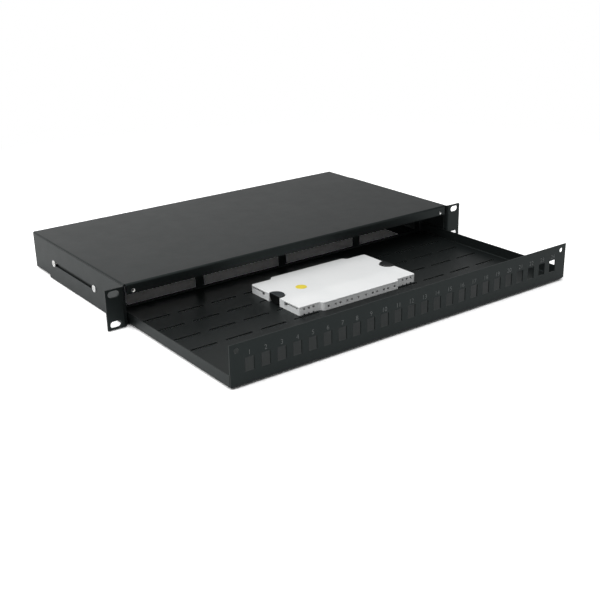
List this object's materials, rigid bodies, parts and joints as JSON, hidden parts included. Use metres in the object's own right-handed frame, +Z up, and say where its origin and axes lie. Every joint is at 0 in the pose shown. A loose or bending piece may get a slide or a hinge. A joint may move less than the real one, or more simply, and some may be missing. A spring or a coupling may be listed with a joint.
{
  "type": "sliding fibre patch panel",
  "caption": "Rack-mounted black sheet-metal fibre patch panel: a drawer with a row of adapter ports slides out of a sleeve with slotted ears and carries a lidded white splice tray.",
  "frame": {"origin": "middle of the four rack slots, on the front face of the two ears", "axes": "+X along the rack's width to the right seen from the front, +Y towards the rear, +Z up"},
  "size_m": [0.4826, 0.4168, 0.0444],
  "materials": {
    "black_coat": "fine-textured satin black powder coat",
    "zinc": "bright zinc plate",
    "white_plastic": "glossy white moulding",
    "holder_plastic": "pale grey moulding",
    "black_plastic": "satin black moulding"
  },
  "bodies": {
    "frame": {"sleeve": "black_coat", "ear_bracket_left": "black_coat", "ear_bracket_right": "black_coat", "ear_screw_left_front": "zinc", "ear_screw_left_rear": "zinc", "ear_screw_right_front": "zinc", "ear_screw_right_rear": "zinc", "ear_nut_left_front": "zinc", "ear_nut_left_rear": "zinc", "ear_nut_right_front": "zinc", "ear_nut_right_rear": "zinc", "lock_nut_left": "zinc", "lock_nut_right": "zinc"},
    "drawer": {"drawer_pan": "black_coat", "tray_base": "white_plastic", "splice_holder_front": "holder_plastic", "splice_holder_rear": "holder_plastic"},
    "tray_cover": {"tray_lid": "white_plastic", "lid_clip_left": "black_plastic", "lid_clip_right": "black_plastic"}
  },
  "joints": [
    {"name": "drawer_slide", "type": "slide", "parent": "frame", "child": "drawer", "axis": [0, 1, 0], "range_m": [0, 0.1852]},
    {"name": "lid_lift", "type": "slide", "parent": "drawer", "child": "tray_cover", "axis": [0, 0, 1], "range_m": [0, 0.018]}
  ]
}
